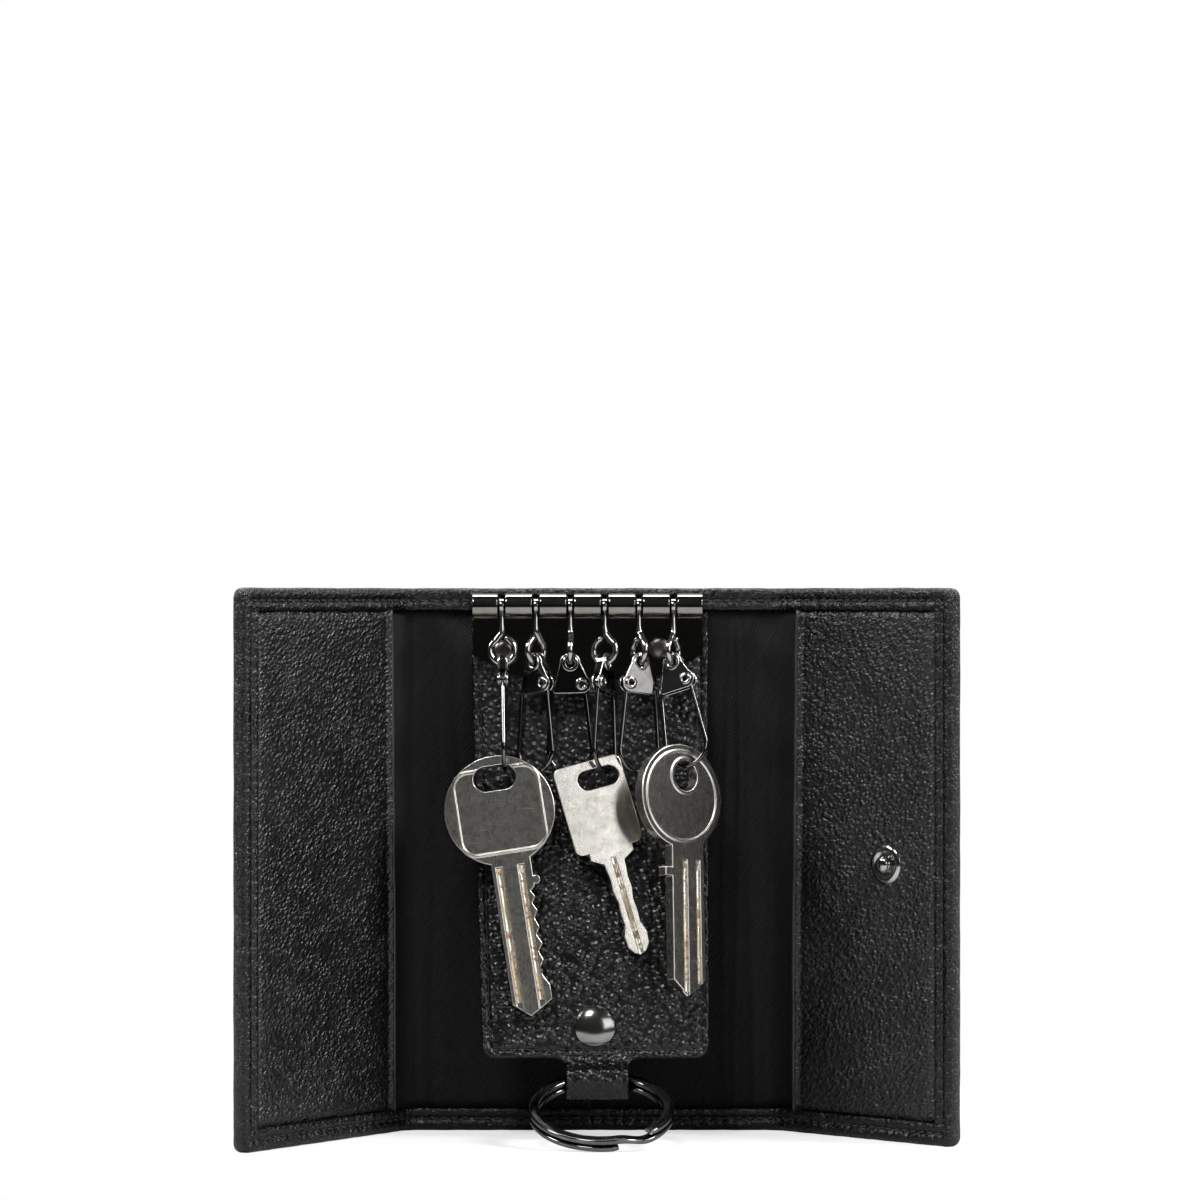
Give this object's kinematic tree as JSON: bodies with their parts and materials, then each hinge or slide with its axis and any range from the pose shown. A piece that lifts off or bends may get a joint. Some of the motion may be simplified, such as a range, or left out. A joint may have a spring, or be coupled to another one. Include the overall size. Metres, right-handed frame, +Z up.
{
  "type": "leather key case",
  "caption": "Tri-fold leather key case, open, with a six-hook key bar, three hanging keys, and a hinged leather tongue that carries a split ring; the flaps close with a snap.",
  "frame": {"origin": "middle of the middle panel's lower edge, on the plane of the lining's face; the case stands there on its lower edges", "axes": "X to the right along the middle panel, Y away from the viewer, Z up"},
  "size_m": [0.143, 0.048, 0.11],
  "materials": {
    "leather": "pebbled black",
    "board": "grey board",
    "lining": "black twill",
    "dark_metal": "black nickel, glossy",
    "plated_metal": "gunmetal plating",
    "worn_key": "worn nickel silver",
    "bright_key": "worn bright nickel"
  },
  "bodies": {
    "case": {"back_leather": "leather", "back_board": "board", "lining": "lining", "tongue_head": "leather", "key_bar": "dark_metal", "bar_rivets": "plated_metal"},
    "left_flap": {"left_leather": "leather", "left_board": "board", "left_facing": "leather", "snap_socket": "plated_metal", "snap_washer": "plated_metal"},
    "right_flap": {"right_leather": "leather", "right_board": "board", "right_facing": "leather", "snap_stud": "plated_metal", "snap_cap": "plated_metal"},
    "tongue": {"tongue_front": "leather", "tongue_back": "leather", "tongue_button": "plated_metal", "tongue_washer": "plated_metal", "ring_tab": "leather"},
    "ring": {"split_ring": "plated_metal"},
    "pin_1": {"eye_pin_1": "plated_metal"},
    "hook_1": {"hook_plate_1": "dark_metal", "hook_rivet_1": "plated_metal"},
    "gate_1": {"hook_wire_1": "plated_metal"},
    "pin_2": {"eye_pin_2": "plated_metal"},
    "hook_2": {"hook_plate_2": "dark_metal", "hook_rivet_2": "plated_metal"},
    "gate_2": {"hook_wire_2": "plated_metal"},
    "pin_3": {"eye_pin_3": "plated_metal"},
    "hook_3": {"hook_plate_3": "dark_metal", "hook_rivet_3": "plated_metal"},
    "gate_3": {"hook_wire_3": "plated_metal"},
    "pin_4": {"eye_pin_4": "plated_metal"},
    "hook_4": {"hook_plate_4": "dark_metal", "hook_rivet_4": "plated_metal"},
    "gate_4": {"hook_wire_4": "plated_metal"},
    "pin_5": {"eye_pin_5": "plated_metal"},
    "hook_5": {"hook_plate_5": "dark_metal", "hook_rivet_5": "plated_metal"},
    "gate_5": {"hook_wire_5": "plated_metal"},
    "pin_6": {"eye_pin_6": "plated_metal"},
    "hook_6": {"hook_plate_6": "dark_metal", "hook_rivet_6": "plated_metal"},
    "gate_6": {"hook_wire_6": "plated_metal"},
    "key_1": {"key_1": "worn_key"},
    "key_2": {"key_2": "bright_key"},
    "key_3": {"key_3": "worn_key"}
  },
  "joints": [
    {"name": "left_fold", "type": "hinge", "parent": "case", "child": "left_flap", "pos_m": [-0.03825, 0.0012, 0], "axis": [0, 0, -1], "range_deg": [-58, 56]},
    {"name": "right_fold", "type": "hinge", "parent": "case", "child": "right_flap", "pos_m": [0.03825, 0.0012, 0], "axis": [0, 0, 1], "range_deg": [-73, 45]},
    {"name": "tongue_bend", "type": "hinge", "parent": "case", "child": "tongue", "pos_m": [0, -0.0009, 0.091], "axis": [-1, 0, 0], "range_deg": [-9, 0]},
    {"name": "ring_swing", "type": "hinge", "parent": "tongue", "child": "ring", "pos_m": [0.002, -0.01772, 0.01189], "axis": [-1, 0, 0], "range_deg": [-70, 70]},
    {"name": "pin_swing_1", "type": "hinge", "parent": "case", "child": "pin_1", "pos_m": [-0.01818, -0.00425, 0.1064], "axis": [-1, 0, 0], "range_deg": [0, 35]},
    {"name": "hook_swing_1", "type": "hinge", "parent": "pin_1", "child": "hook_1", "pos_m": [-0.01791, -0.00588, 0.09482], "axis": [-0.9997, 0, -0.0227], "range_deg": [-0.5, 25]},
    {"name": "gate_open_1", "type": "hinge", "parent": "hook_1", "child": "gate_1", "pos_m": [-0.01784, -0.00944, 0.09158], "axis": [-0.9997, 0, -0.0227], "range_deg": [-0.5, 20]},
    {"name": "pin_swing_2", "type": "hinge", "parent": "case", "child": "pin_2", "pos_m": [-0.01123, -0.00425, 0.1064], "axis": [-1, 0, 0], "range_deg": [-0.3, 0.2]},
    {"name": "hook_swing_2", "type": "hinge", "parent": "pin_2", "child": "hook_2", "pos_m": [-0.01123, -0.00588, 0.09481], "axis": [-0.6428, -0.7586, 0.1066], "range_deg": [-1, 20]},
    {"name": "gate_open_2", "type": "hinge", "parent": "hook_2", "child": "gate_2", "pos_m": [-0.00942, -0.00796, 0.09087], "axis": [-0.6428, -0.7586, 0.1066], "range_deg": [-1.4, 3.5]},
    {"name": "pin_swing_3", "type": "hinge", "parent": "case", "child": "pin_3", "pos_m": [-0.00428, -0.00425, 0.1064], "axis": [-1, 0, 0], "range_deg": [-1, 2.5]},
    {"name": "hook_swing_3", "type": "hinge", "parent": "pin_3", "child": "hook_3", "pos_m": [-0.00428, -0.00588, 0.09481], "axis": [0, -0.9986, 0.0523], "range_deg": [-4, 8]},
    {"name": "gate_open_3", "type": "hinge", "parent": "hook_3", "child": "gate_3", "pos_m": [-0.00193, -0.0061, 0.09062], "axis": [0, -0.9986, 0.0523], "range_deg": [-8, 15]},
    {"name": "pin_swing_4", "type": "hinge", "parent": "case", "child": "pin_4", "pos_m": [0.00267, -0.00425, 0.1064], "axis": [-1, 0, 0], "range_deg": [-0.6, 1]},
    {"name": "hook_swing_4", "type": "hinge", "parent": "pin_4", "child": "hook_4", "pos_m": [0.00267, -0.00588, 0.09481], "axis": [-0.8829, 0.4583, -0.1016], "range_deg": [-0.9, 20]},
    {"name": "gate_open_4", "type": "hinge", "parent": "hook_4", "child": "gate_4", "pos_m": [0.00157, -0.00881, 0.09116], "axis": [-0.8829, 0.4583, -0.1016], "range_deg": [-1, 20]},
    {"name": "pin_swing_5", "type": "hinge", "parent": "case", "child": "pin_5", "pos_m": [0.00962, -0.00425, 0.1064], "axis": [-1, 0, 0], "range_deg": [-1, 12]},
    {"name": "hook_swing_5", "type": "hinge", "parent": "pin_5", "child": "hook_5", "pos_m": [0.00962, -0.00588, 0.09481], "axis": [-0.5, 0.8529, -0.1504], "range_deg": [-6, 8]},
    {"name": "gate_open_5", "type": "hinge", "parent": "hook_5", "child": "gate_5", "pos_m": [0.00759, -0.00777, 0.09088], "axis": [-0.5, 0.8529, -0.1504], "range_deg": [-12, 15]},
    {"name": "pin_swing_6", "type": "hinge", "parent": "case", "child": "pin_6", "pos_m": [0.01657, -0.00425, 0.1064], "axis": [-1, 0, 0], "range_deg": [-1.4, 35]},
    {"name": "hook_swing_6", "type": "hinge", "parent": "pin_6", "child": "hook_6", "pos_m": [0.01657, -0.00588, 0.09481], "axis": [-0.4226, -0.8619, 0.2801], "range_deg": [-3, 25]},
    {"name": "gate_open_6", "type": "hinge", "parent": "hook_6", "child": "gate_6", "pos_m": [0.01924, -0.00824, 0.09158], "axis": [-0.4226, -0.8619, 0.2801], "range_deg": [-1.5, 20]},
    {"name": "key_swing_1", "type": "hinge", "parent": "gate_1", "child": "key_1", "pos_m": [-0.01743, -0.0115, 0.07364], "axis": [0, 1, 0], "range_deg": [-2, 40]},
    {"name": "key_swing_2", "type": "hinge", "parent": "gate_4", "child": "key_2", "pos_m": [0.00307, -0.00992, 0.07316], "axis": [-0.4607, -0.8875, 0], "range_deg": [-2.8, 9]},
    {"name": "key_swing_3", "type": "hinge", "parent": "gate_6", "child": "key_3", "pos_m": [0.0184, -0.01345, 0.07428], "axis": [-0.8979, 0.4402, 0], "range_deg": [-3.5, 60]}
  ]
}
